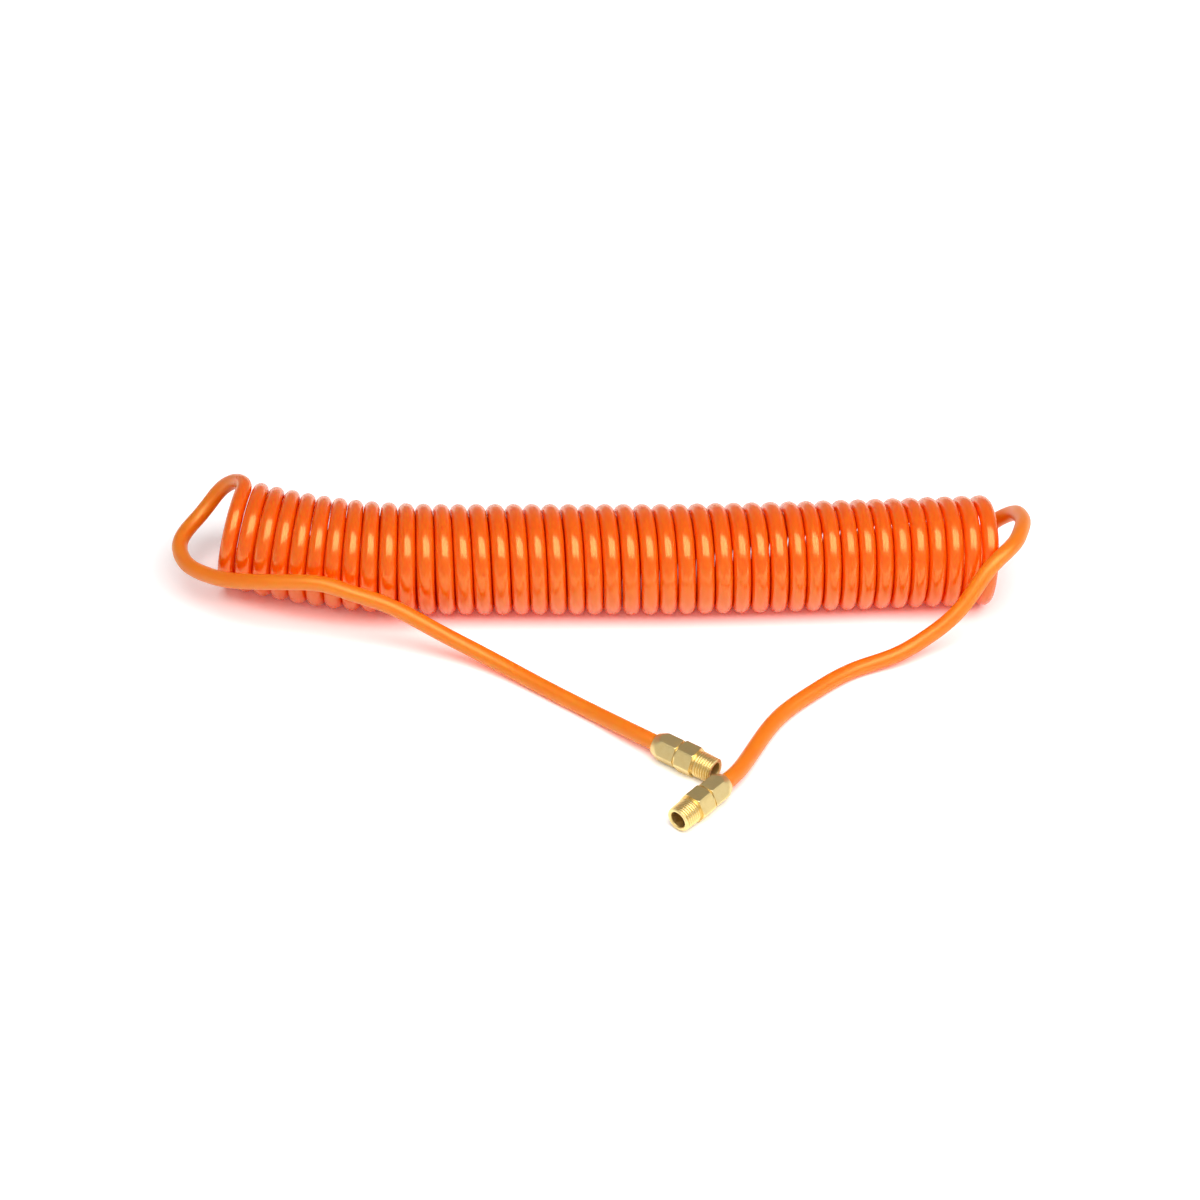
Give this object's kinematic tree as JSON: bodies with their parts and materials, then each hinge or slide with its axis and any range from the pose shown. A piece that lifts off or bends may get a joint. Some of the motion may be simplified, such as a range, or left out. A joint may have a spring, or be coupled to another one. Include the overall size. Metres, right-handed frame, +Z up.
{
  "type": "coiled air hose",
  "caption": "Recoil air hose: a close coil of flexible tube with a free tail at each end, and on each tail a brass swivel fitting with a male pipe thread.",
  "frame": {"origin": "on the ground, below the middle of the box that holds the whole hose as it lies", "axes": "+X along the coil from the end of tail A to the end of tail B, +Y towards the back of the coil, +Z up"},
  "size_m": [0.4346, 0.2202, 0.0552],
  "materials": {
    "hose": "glossy translucent polyurethane, orange",
    "brass": "turned brass, bright on the flats, duller in the grooves",
    "steel": "spring steel",
    "seal": "matt black rubber"
  },
  "bodies": {
    "coil": {"hose_coil": "hose", "hose_tail_a": "hose", "nut_a": "brass", "ferrule_a": "brass", "stem_a": "brass", "seal_a": "seal"},
    "end_b": {"hose_tail_b": "hose", "nut_b": "brass", "ferrule_b": "brass", "stem_b": "brass", "seal_b": "seal"},
    "swivel_a": {"nose_a": "brass", "ring_a": "steel"},
    "swivel_b": {"nose_b": "brass", "ring_b": "steel"}
  },
  "joints": [
    {"name": "coil_stretch", "type": "slide", "parent": "coil", "child": "end_b", "axis": [1, 0, 0], "range_m": [0, 1.6], "stiffness_N_per_m": 4, "deforming": ["hose_coil"]},
    {"name": "swivel_a", "type": "hinge", "parent": "coil", "child": "swivel_a", "pos_m": [0.0272, -0.052, 0.007], "axis": [0.8141, -0.5807, 0], "continuous": true},
    {"name": "swivel_b", "type": "hinge", "parent": "end_b", "child": "swivel_b", "pos_m": [0.059, -0.08, 0.007], "axis": [-0.6626, -0.749, 0], "continuous": true}
  ]
}
